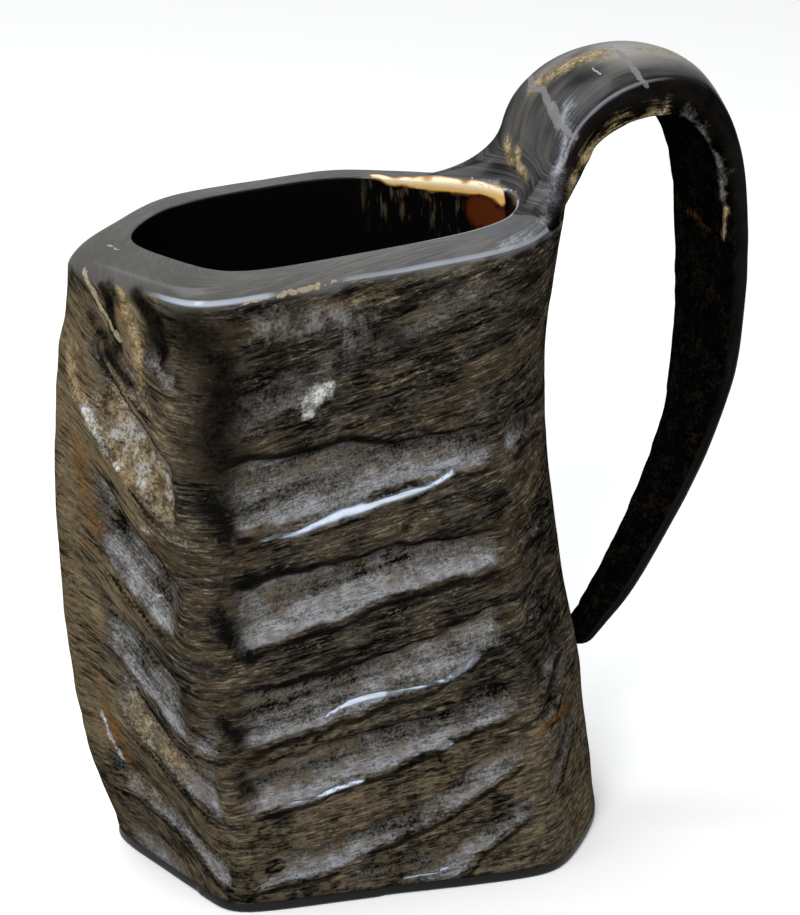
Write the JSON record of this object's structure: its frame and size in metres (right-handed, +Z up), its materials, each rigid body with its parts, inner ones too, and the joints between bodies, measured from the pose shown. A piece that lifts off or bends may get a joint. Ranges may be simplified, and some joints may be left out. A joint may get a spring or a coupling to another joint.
{
  "type": "horn drinking cup",
  "caption": "Rustic drinking cup cut from one buffalo horn, with ridged sides, a polished rim and a handle bent from the same horn.",
  "frame": {"origin": "centre of the cup's flat base, on the table", "axes": "+Z up, +X towards the handle, -Y towards the front face of the picture"},
  "size_m": [0.1628, 0.0706, 0.181],
  "materials": {
    "horn": "natural horn, sanded lands and rough growth-ring valleys, polished rim and handle",
    "plate": "black horn plate, polished edge",
    "resin": "clear amber food-safe resin"
  },
  "bodies": {
    "root": {"horn": "horn", "base_plate": "plate", "seal_bead": "resin"}
  },
  "joints": []
}
